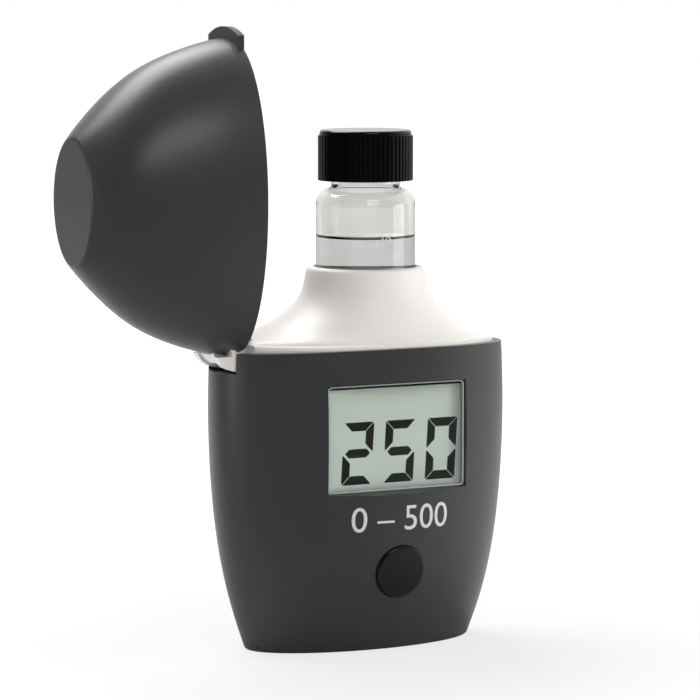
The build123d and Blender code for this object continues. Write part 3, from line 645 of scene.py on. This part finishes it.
class Shape:
    """A bmesh under construction, in metres."""

    def __init__(self) -> None:
        """Start empty."""
        self.bm = bmesh.new()

    def grid(self, width: float, height: float) -> list[bmesh.types.BMVert]:
        """Add one rectangle in the XY plane, centred on the origin.

        Args:
            width: size along X.
            height: size along Y.

        Returns:
            Its vertices.
        """
        made = bmesh.ops.create_grid(self.bm, x_segments=1, y_segments=1, size=0.5)
        bmesh.ops.scale(self.bm, vec=(width, height, 1.0), verts=made["verts"])
        return made["verts"]

    def lathe(self, profile: list[Span], axis_x: float, steps: int = 128) -> None:
        """Spin a closed profile about an upright axis.

        Args:
            profile: radius and height of each point, in order along the profile.
            axis_x: place of the axis along X.
            steps: sides of the full turn.
        """
        verts = [self.bm.verts.new((radius, 0.0, height)) for radius, height in profile]
        edges = [self.bm.edges.new(pair) for pair in zip(verts, verts[1:])]
        bmesh.ops.spin(
            self.bm, geom=verts + edges, cent=(0, 0, 0), axis=(0, 0, 1), dvec=(0, 0, 0),
            angle=2 * math.pi, steps=steps, use_merge=True, use_normal_flip=False, use_duplicate=False,
        )
        bmesh.ops.remove_doubles(self.bm, verts=self.bm.verts[:], dist=TINY)
        self.transform(Matrix.Translation((axis_x, 0, 0)))

    def thicken(self, depth: float) -> None:
        """Extrude every face along -Z and close the shape.

        Args:
            depth: depth of the shape.
        """
        faces = self.bm.faces[:]
        made = bmesh.ops.extrude_face_region(self.bm, geom=faces, use_keep_orig=True)
        moved = [item for item in made["geom"] if isinstance(item, bmesh.types.BMVert)]
        bmesh.ops.translate(self.bm, vec=(0, 0, -depth), verts=moved)

    def transform(self, matrix: Matrix) -> None:
        """Move every vertex."""
        bmesh.ops.transform(self.bm, matrix=matrix, verts=self.bm.verts[:])

    def bevel(self, edges: list[bmesh.types.BMEdge], width: float, segments: int = 3) -> None:
        """Round edges.

        Args:
            edges: edges to round.
            width: width of the rounding.
            segments: facets across it.
        """
        bmesh.ops.bevel(
            self.bm, geom=edges, offset=width, offset_type="OFFSET", affect="EDGES",
            segments=segments, profile=0.5, material=-1,
        )

    def cut_corners(self, verts: list[bmesh.types.BMVert], width: float, segments: int) -> None:
        """Cut or round corners of a flat face.

        Args:
            verts: corners to cut.
            width: width of the cut.
            segments: facets across it.
        """
        bmesh.ops.bevel(
            self.bm, geom=verts, offset=width, offset_type="OFFSET", affect="VERTICES",
            segments=segments, profile=0.5, material=-1,
        )

    def finish(
        self, name: str, slot: Slot, palette: Palette, body: Body, smooth: bool = True,
    ) -> bpy.types.Object:
        """Make the object, dress it and let it ride on a body.

        Args:
            name: piece name.
            slot: material slot.
            palette: materials.
            body: body it moves with.
            smooth: smooth shading over all but sharp edges.

        Returns:
            The finished piece.
        """
        bmesh.ops.recalc_face_normals(self.bm, faces=self.bm.faces[:])
        mesh = bpy.data.meshes.new(name)
        self.bm.to_mesh(mesh)
        self.bm.free()
        obj = bpy.data.objects.new(name, mesh)
        bpy.context.scene.collection.objects.link(obj)
        if smooth:
            mesh.shade_smooth()
            mesh.set_sharp_from_angle(angle=SMOOTH_ANGLE)
        palette.dress(obj, slot)
        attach(obj, body.value)
        LOG.info("%s: %d faces on %s", name, len(mesh.polygons), body.value)
        return obj


@dataclass
class Assembly(ABC):
    """A group of pieces built together."""

    palette: Palette
    made: list[bpy.types.Object] = field(default_factory=list, init=False)

    @abstractmethod
    def build(self) -> list[bpy.types.Object]:
        """Build every piece and return them."""


@dataclass
class CadNodes(Assembly):
    """The instrument's solids, each given the finish of its slot."""

    def build(self) -> list[bpy.types.Object]:
        """Dress every node.

        Returns:
            The dressed nodes.
        """
        for row in frame["record"]["subparts"]:
            node = frame["nodes"][row["node"]]
            self.palette.dress(node, Slot(row["material_slot"]))
            self.made.append(node)
        return self.made


@dataclass
class Segments(Assembly):
    """Three seven-segment digits behind the display window."""

    value: str = "250"
    centres: tuple[float, ...] = (-7.3 * MM, 1.05 * MM, 9.45 * MM)
    centre_z: float = 36.7 * MM
    face_y: float = -14.352 * MM
    depth: float = 0.02 * MM
    cell_width: float = 6.0 * MM
    cell_height: float = 11.1 * MM
    bar: float = 1.58 * MM
    gap: float = 0.09 * MM
    corner: float = 0.3 * MM
    slant: float = 0.06
    point_share: float = 0.49
    middle_trim: float = 0.55
    spread: float = 0.02

    LIT = {
        "0": "ABCDEF", "1": "BC", "2": "ABGED", "3": "ABGCD", "4": "FGBC",
        "5": "AFGCD", "6": "AFGECD", "7": "ABC", "8": "ABCDEFG", "9": "ABCDFG",
    }

    def bar_shape(self, shape: Shape, length: float, point: bool) -> list[bmesh.types.BMVert]:
        """Add one bar along X with its outer edge towards +Y.

        Args:
            shape: shape to add to.
            length: full length at the outer edge.
            point: both ends pointed, as on the middle bar.

        Returns:
            Its vertices.
        """
        before = set(shape.bm.verts)
        full = length - 2 * self.gap
        shape.grid(full, self.bar)
        verts = [v for v in shape.bm.verts if v not in before]
        if point:
            shape.cut_corners(verts, self.bar * self.point_share, segments=1)
        else:
            inner = [v for v in verts if v.co.y < 0]
            outer = [v for v in verts if v.co.y > 0]
            short = (full - 2 * self.bar) / full
            bmesh.ops.scale(shape.bm, vec=(short, 1.0, 1.0), verts=inner)
            shape.cut_corners(outer, self.corner, segments=2)
        return [v for v in shape.bm.verts if v not in before]

    def place(self, letter: str) -> tuple[float, float, float, float, bool]:
        """Place one bar within its digit.

        Args:
            letter: bar, by the letter that such displays give it.

        Returns:
            Turn in degrees, centre across, centre up, length and whether the ends are pointed.
        """
        x = (self.cell_width - self.bar) / 2
        y = (self.cell_height - self.bar) / 2
        half = self.cell_height / 2
        quarter = half / 2 + self.bar * self.spread
        table = {
            "A": (0.0, 0.0, y, self.cell_width, False),
            "D": (180.0, 0.0, -y, self.cell_width, False),
            "B": (-90.0, x, quarter, half, False),
            "C": (-90.0, x, -quarter, half, False),
            "E": (90.0, -x, -quarter, half, False),
            "F": (90.0, -x, quarter, half, False),
            "G": (0.0, 0.0, 0.0, self.cell_width - self.bar * self.middle_trim, True),
        }
        return table[letter]

    def build(self) -> list[bpy.types.Object]:
        """Build the digits.

        Returns:
            One piece per digit.
        """
        shear = Matrix.Identity(4)
        shear[0][1] = self.slant
        for index, digit in enumerate(self.value):
            shape = Shape()
            for letter in self.LIT[digit]:
                turn, x, y, length, point = self.place(letter)
                verts = self.bar_shape(shape, length, point)
                move = Matrix.Translation((x, y, 0)) @ Matrix.Rotation(math.radians(turn), 4, "Z")
                bmesh.ops.transform(shape.bm, matrix=move, verts=verts)
            shape.thicken(self.depth)
            spot = Matrix.Translation((self.centres[index], self.face_y - self.depth, self.centre_z))
            shape.transform(spot @ STAND_UP @ shear)
            name = f"display_digit_{index + 1}"
            self.made.append(shape.finish(name, Slot.DISPLAY_FRAME, self.palette, Body.BASE, smooth=False))
        return self.made


@dataclass
class Window(Assembly):
    """Clear display window with a rounded, bevelled border."""

    half_width: float = 14.3 * MM
    half_height: float = 10.15 * MM
    centre_z: float = WINDOW_Z
    front_y: float = -15.4 * MM
    thickness: float = 1.0 * MM
    corner: float = 1.1 * MM
    bevel_width: float = 0.75 * MM

    def build(self) -> list[bpy.types.Object]:
        """Build the window in place of the plain one.

        Returns:
            The window.
        """
        shape = Shape()
        made = bmesh.ops.create_cube(shape.bm, size=1.0)
        size = (2 * self.half_width, self.thickness, 2 * self.half_height)
        bmesh.ops.scale(shape.bm, vec=size, verts=made["verts"])
        half = self.thickness / 2
        through = [e for e in shape.bm.edges if abs((e.verts[0].co - e.verts[1].co).y) > half]
        shape.bevel(through, self.corner, segments=4)
        front = [e for e in shape.bm.edges if all(v.co.y < TINY - half for v in e.verts)]
        shape.bevel(front, self.bevel_width, segments=3)
        shape.transform(Matrix.Translation((0, self.front_y + half, self.centre_z)))
        window = shape.finish("window_bevelled", Slot.WINDOW_CLEAR, self.palette, Body.BASE)
        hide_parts("display_window")
        self.made.append(window)
        return self.made


@dataclass
class WindowHighlightAndShade(Assembly):
    """Pale ring in front of the window as a painted highlight of its bevelled edge, and a dark strip along
    the display's upper edge as painted shade of the recess.
    """

    half_width: float = 13.68 * MM
    half_height: float = 9.53 * MM
    centre_z: float = WINDOW_Z
    back_y: float = -15.41 * MM
    width: float = 0.2 * MM
    depth: float = 0.22 * MM
    corner: float = 0.9 * MM
    rim_round: float = 0.08 * MM
    shade_strip_height: float = 0.75 * MM
    shade_strip_y: float = -14.36 * MM
    shade_strip_depth: float = 0.02 * MM

    def highlight_ring_shape(self) -> Shape:
        """Make the highlight ring in the XY plane.

        Returns:
            The ring, with rounded corners and softened front edges.
        """
        shape = Shape()
        verts = shape.grid(2 * self.half_width, 2 * self.half_height)
        shape.cut_corners(verts, self.corner, segments=5)
        bmesh.ops.inset_region(
            shape.bm, faces=shape.bm.faces[:], thickness=self.width,
            use_boundary=True, use_even_offset=True,
        )
        middle = max(shape.bm.faces, key=lambda face: len(face.verts))
        bmesh.ops.delete(shape.bm, geom=[middle], context="FACES_ONLY")
        shape.thicken(self.depth)
        front = [e for e in shape.bm.edges if all(abs(v.co.z) < TINY for v in e.verts)]
        closed = [e for e in front if len(e.link_faces) == 2]
        rim = [e for e in closed if abs(e.link_faces[0].normal.dot(e.link_faces[1].normal)) < 0.5]
        shape.bevel(rim, self.rim_round, segments=2)
        return shape

    def build(self) -> list[bpy.types.Object]:
        """Build the highlight ring and the shade strip.

        Returns:
            Both pieces.
        """
        ring = self.highlight_ring_shape()
        ring.transform(Matrix.Translation((0, self.back_y - self.depth, self.centre_z)) @ STAND_UP)
        # Pale trim, as a painted highlight of the window's bevelled edge.
        self.made.append(ring.finish("window_highlight_ring", Slot.PALE_TRIM, self.palette, Body.BASE))
        # Near-black strip on the display, as painted shade of the recess along its upper edge.
        strip = Shape()
        strip.grid(2 * self.half_width, self.shade_strip_height)
        strip.thicken(self.shade_strip_depth)
        top = self.centre_z + self.half_height - self.shade_strip_height / 2
        strip.transform(Matrix.Translation((0, self.shade_strip_y - self.shade_strip_depth, top)) @ STAND_UP)
        name = "display_upper_shade_strip"
        self.made.append(strip.finish(name, Slot.DISPLAY_FRAME, self.palette, Body.BASE, smooth=False))
        return self.made


@dataclass
class Vial(Assembly):
    """Glass vial with a round shoulder, a waist under the cap and a threaded mouth.

    Its radii and heights are in millimetres.
    """

    outer: tuple[Span, ...] = (
        (0.0, 21.2), (7.85, 21.2), (8.6, 21.5), (8.9, 21.9), (9.0, 22.4), (9.0, 80.3), (8.93, 80.9),
        (8.7, 81.5), (8.3, 82.05), (7.75, 82.5), (7.15, 82.8), (6.65, 83.0), (6.35, 83.2), (6.2, 83.5),
        (6.2, 84.3), (6.4, 84.7), (7.3, 85.0),
    )
    inner: tuple[Span, ...] = (
        (6.15, 91.5), (6.15, 85.6), (5.2, 84.9), (5.05, 84.3), (5.05, 83.6), (5.3, 82.9), (5.9, 82.3),
        (6.7, 81.8), (7.3, 81.3), (7.7, 80.6), (7.85, 79.8), (7.85, 22.7), (0.0, 22.7),
    )
    neck: float = 7.3
    crest: float = 7.7
    threads: tuple[float, ...] = (85.2, 87.3, 89.4)
    thread_height: float = 0.7
    top: float = 91.5
    axis_x: float = CUVETTE_X

    def build(self) -> list[bpy.types.Object]:
        """Build the vial in place of the plain one.

        Returns:
            The vial.
        """
        profile = list(self.outer)
        third = self.thread_height / 3
        for low in self.threads:
            profile += [(self.neck, low), (self.crest, low + third), (self.crest, low + 2 * third)]
            profile.append((self.neck, low + self.thread_height))
        profile += [(self.neck, self.top), *self.inner]
        shape = Shape()
        shape.lathe([(radius * MM, height * MM) for radius, height in profile], self.axis_x)
        vial = shape.finish("vial_waisted", Slot.VIAL_GLASS, self.palette, Body.CUVETTE)
        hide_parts("cuvette_glass")
        self.made.append(vial)
        return self.made


@dataclass
class Liquid(Assembly):
    """Sample in the cuvette, with a curved edge where it meets the glass."""

    radius: float = 7.86 * MM
    bottom: float = 22.7 * MM
    level: float = 74.0 * MM
    climb: float = 0.55 * MM
    fall: float = 0.9
    edge_steps: int = 8
    edge_pitch: float = 0.03
    axis_x: float = CUVETTE_X

    def build(self) -> list[bpy.types.Object]:
        """Build the liquid in place of the plain one.

        Returns:
            The liquid.
        """
        shape = Shape()
        edge = []
        for step in range(self.edge_steps):
            radius = self.radius * (1 - self.edge_pitch * step)
            edge.append((radius, self.level + self.climb * math.exp(-self.fall * step)))
        profile = [(0.0, self.bottom), (self.radius, self.bottom), *edge, (0.0, self.level)]
        shape.lathe(profile, self.axis_x)
        liquid = shape.finish("sample_with_meniscus", Slot.SAMPLE_WATER, self.palette, Body.CUVETTE)
        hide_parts("sample_liquid")
        self.made.append(liquid)
        return self.made


@dataclass
class CollarLip(Assembly):
    """Thin lip inside the white collar, close round the cuvette."""

    inner: float = 9.09 * MM
    outer: float = 9.6 * MM
    low: float = 67.3 * MM
    high: float = 68.35 * MM
    edge: float = 0.15 * MM
    axis_x: float = CUVETTE_X

    def build(self) -> list[bpy.types.Object]:
        """Build the lip.

        Returns:
            The lip.
        """
        shape = Shape()
        profile = [
            (self.inner, self.low), (self.inner, self.high - self.edge),
            (self.inner + self.edge, self.high), (self.outer, self.high),
            (self.outer, self.low), (self.inner, self.low),
        ]
        shape.lathe(profile, self.axis_x)
        self.made.append(shape.finish("collar_lip", Slot.COVER_WHITE, self.palette, Body.BASE))
        return self.made


@dataclass
class Print(Assembly):
    """Printed characters that follow a surface of the instrument."""

    name: str = "print"
    text: str = "0"
    node: str = "body_shell"
    body: Body = Body.BASE
    slot: Slot = Slot.PALE_TRIM
    height: float = 4.0 * MM
    centre_x: float = 0.0
    centre_z: float = 0.0
    lift: float = 0.02 * MM
    cut: float = 0.6 * MM
    reach: float = 60.0 * MM
    start_y: float = -50.0 * MM
    root_share: float = 0.1
    capital: float = 0.69
    merge: float = 1e-6

    def flat(self) -> Shape:
        """Make the characters as flat faces in the XZ plane.

        Returns:
            The flat shape, cut into small faces.
        """
        curve = bpy.data.curves.new(self.name, "FONT")
        curve.body = self.text
        curve.align_x = "CENTER"
        curve.align_y = "CENTER"
        curve.size = self.height / self.capital
        holder = bpy.data.objects.new(self.name + "_outline", curve)
        mesh = bpy.data.meshes.new_from_object(holder)
        shape = Shape()
        shape.bm.from_mesh(mesh)
        bpy.data.objects.remove(holder)
        bpy.data.curves.remove(curve)
        bpy.data.meshes.remove(mesh)
        bmesh.ops.remove_doubles(shape.bm, verts=shape.bm.verts[:], dist=self.merge)
        steps = int(self.reach / self.cut)
        for axis in (Vector((1, 0, 0)), Vector((0, 1, 0))):
            for step in range(-steps, steps + 1):
                offset = step * self.cut
                if self.misses(shape, axis, offset):
                    continue
                geom = shape.bm.verts[:] + shape.bm.edges[:] + shape.bm.faces[:]
                bmesh.ops.bisect_plane(
                    shape.bm, geom=geom, dist=TINY, plane_co=axis * offset, plane_no=axis,
                )
        shape.transform(Matrix.Translation((self.centre_x, 0, self.centre_z)) @ STAND_UP)
        return shape

    @staticmethod
    def misses(shape: Shape, axis: Vector, offset: float) -> bool:
        """Return whether a plane lies outside the shape."""
        values = [v.co.dot(axis) for v in shape.bm.verts]
        return offset <= min(values) or offset >= max(values)

    def build(self) -> list[bpy.types.Object]:
        """Build the print.

        Returns:
            The print.
        """
        shape = self.flat()
        mesh = frame["nodes"][self.node].data
        triangles = [tuple(face.vertices) for face in mesh.polygons]
        tree = BVHTree.FromPolygons([vert.co for vert in mesh.vertices], triangles)
        made = bmesh.ops.extrude_face_region(shape.bm, geom=shape.bm.faces[:], use_keep_orig=True)
        outer = {item for item in made["geom"] if isinstance(item, bmesh.types.BMVert)}
        for vert in shape.bm.verts:
            start = Vector((vert.co.x, self.start_y, vert.co.z))
            hit, normal, _, _ = tree.ray_cast(start, Vector((0, 1, 0)))
            vert.co = hit + normal * (self.lift if vert in outer else self.lift * self.root_share)
        self.made.append(shape.finish(self.name, self.slot, self.palette, self.body, smooth=False))
        return self.made


@dataclass(frozen=True)
class Lamp:
    """Soft rectangular lamp aimed at a point."""

    name: str
    place: Point
    size: tuple[float, float]
    power: float
    target: Point = (0.0, 0.0, 0.055)
    colour: Colour = (1.0, 1.0, 1.0)
    mirrored: bool = True

    def light(self) -> bpy.types.Object:
        """Add the lamp to the scene.

        Returns:
            The lamp object.
        """
        data = bpy.data.lights.new(self.name, "AREA")
        data.shape = "RECTANGLE"
        data.size, data.size_y = self.size
        data.energy = self.power
        data.color = self.colour
        obj = bpy.data.objects.new(self.name, data)
        obj.location = self.place
        obj.visible_glossy = self.mirrored
        aim = Vector(self.target) - Vector(self.place)
        obj.rotation_euler = aim.to_track_quat("-Z", "Y").to_euler()
        bpy.context.scene.collection.objects.link(obj)
        return obj


@dataclass
class Studio:
    """White surroundings that mirror dark on the viewer's side, a floor with the shadow, and lamps."""

    ambient: float = 0.5
    far_side: float = 1.0
    near_side: float = 0.04
    far_way: Point = (0.75, 0.6, 0.28)
    far_edge: Span = (0.08, 0.8)
    floor_size: float = 3.0
    floor_glow: float = 0.73
    floor_seen: float = 0.2
    floor_bounce: float = 0.75
    floor_dark: float = 0.12
    floor_shadow: Span = (0.04, 0.2)
    floor_edge: Span = (-0.12, 0.08)
    lamps: tuple[Lamp, ...] = (
        Lamp("lamp_top", (-0.1, 0.4, 0.7), (0.6, 0.4), 5.6),
        Lamp("lamp_left", (-0.8, 0.2, 0.14), (0.2, 0.3), 0.8),
        Lamp("lamp_right", (0.7, -0.3, 0.12), (0.5, 0.5), 3.4, mirrored=False),
        Lamp("lamp_front", (-0.1, -0.9, 0.75), (0.5, 0.3), 2.4),
    )

    @staticmethod
    def rays(graph: Graph) -> tuple[Wire, Wire]:
        """Tell kinds of rays apart.

        Args:
            graph: graph to read them in.

        Returns:
            1 for rays from the camera or through glass, and 1 for mirror rays.
        """
        path = graph.node("ShaderNodeLightPath").outputs
        camera = Wire(graph, path["Is Camera Ray"])
        seen = camera.maximum(Wire(graph, path["Is Transmission Ray"]))
        return seen, Wire(graph, path["Is Glossy Ray"])

    def farness(self, graph: Graph, way: bpy.types.NodeSocket, edge: Span) -> Wire:
        """Return a blend that grows from 0 to 1 towards the far side, between two reaches."""
        along = graph.node("ShaderNodeVectorMath", {"operation": "DOT_PRODUCT"}, {0: way, 1: self.far_way})
        return Wire(graph, along.outputs["Value"]).ramp(*edge)

    def world(self) -> None:
        """Set the surroundings, white where they are seen."""
        world = bpy.data.worlds.new("surroundings")
        bpy.context.scene.world = world
        world.use_nodes = True
        graph = Graph(world.node_tree, "ShaderNodeOutputWorld")
        seen, glossy = self.rays(graph)
        far = self.farness(graph, graph.node("ShaderNodeTexCoord").outputs["Generated"], self.far_edge)
        mirrored = self.near_side + (self.far_side - self.near_side) * far
        soft = glossy * mirrored + (1.0 - glossy) * self.ambient
        level = seen + (1.0 - seen) * soft
        graph.show(graph.node("ShaderNodeBackground", None, {"Color": (1, 1, 1, 1), "Strength": level}))

    def floor_material(self) -> bpy.types.Material:
        """Build the floor's material, white with the shadow, and dark to mirrors near the viewer.

        Returns:
            The material.
        """
        material = bpy.data.materials.new("floor_white")
        material.use_nodes = True
        graph = Graph(material.node_tree)
        seen, glossy = self.rays(graph)
        reach = graph.node("ShaderNodeVectorMath", {"operation": "LENGTH"}, {0: graph.position()})
        wide = Wire(graph, reach.outputs["Value"]).ramp(*self.floor_shadow)
        level = seen * (self.floor_glow + (1.0 - self.floor_glow) * wide)
        glow = graph.node("ShaderNodeEmission", None, {"Color": (1, 1, 1, 1), "Strength": level})
        far = self.farness(graph, graph.position(), self.floor_edge)
        dark = glossy * (1.0 - far) * (1.0 - seen)
        tone = graph.mix(seen, (self.floor_bounce,) * 3, (self.floor_seen,) * 3)
        ends = {0: dark, 6: tone, 7: (self.floor_dark, self.floor_dark, self.floor_dark, 1.0)}
        shaded = graph.node("ShaderNodeMix", {"data_type": "RGBA"}, ends)
        matt = graph.node("ShaderNodeBsdfDiffuse", None, {"Color": shaded.outputs[2]})
        graph.show(graph.node("ShaderNodeAddShader", None, {0: glow.outputs[0], 1: matt.outputs[0]}))
        return material

    def floor(self) -> bpy.types.Object:
        """Add the floor.

        Returns:
            The floor.
        """
        bm = bmesh.new()
        bmesh.ops.create_grid(bm, x_segments=1, y_segments=1, size=self.floor_size)
        mesh = bpy.data.meshes.new("floor")
        bm.to_mesh(mesh)
        bm.free()
        obj = bpy.data.objects.new("floor", mesh)
        bpy.context.scene.collection.objects.link(obj)
        mesh.materials.append(self.floor_material())
        return obj

    def build(self) -> None:
        """Set up surroundings, floor and lamps."""
        self.world()
        self.floor()
        for lamp in self.lamps:
            lamp.light()


@dataclass(frozen=True)
class PhotoCamera:
    """Camera of the reference view."""

    place: Point = (-0.2996, -0.588, 0.124)
    turn: Point = (83.9, 0.0, -26.893)
    lens: float = 187.7
    sensor: float = 36.0
    nearest: float = 0.01
    farthest: float = 20.0

    def build(self) -> bpy.types.Object:
        """Add the camera and make it the scene's.

        Returns:
            The camera object.
        """
        data = bpy.data.cameras.new("photo_camera")
        data.lens = self.lens
        data.sensor_width = self.sensor
        data.clip_start = self.nearest
        data.clip_end = self.farthest
        obj = bpy.data.objects.new("photo_camera", data)
        obj.location = self.place
        obj.rotation_euler = tuple(math.radians(angle) for angle in self.turn)
        bpy.context.scene.collection.objects.link(obj)
        bpy.context.scene.camera = obj
        return obj


def main() -> None:
    """Build the dressed instrument and its studio in order."""
    logging.basicConfig(level=logging.INFO, format="%(name)s: %(message)s")
    palette = Palette(FINISHES)
    groups: list[Assembly] = [
        CadNodes(palette),
        Segments(palette),
        Window(palette),
        WindowHighlightAndShade(palette),
        Vial(palette),
        Liquid(palette),
        CollarLip(palette),
        Print(
            palette, name="range_print", text="0 \u2013 500",
            height=4.4 * MM, centre_x=-0.2 * MM, centre_z=24.9 * MM,
        ),
        Print(
            palette, name="fill_mark", text="\u2014 10 \u2014", node="cuvette_glass", body=Body.CUVETTE,
            height=1.5 * MM, centre_x=1.2 * MM, centre_z=73.9 * MM, cut=0.4 * MM,
        ),
    ]
    for group in groups:
        LOG.info("%s: %d pieces", type(group).__name__, len(group.build()))
    Studio().build()
    PhotoCamera().build()
    scene = bpy.context.scene
    scene.view_settings.view_transform = "Standard"


if __name__ == "__main__":
    main()
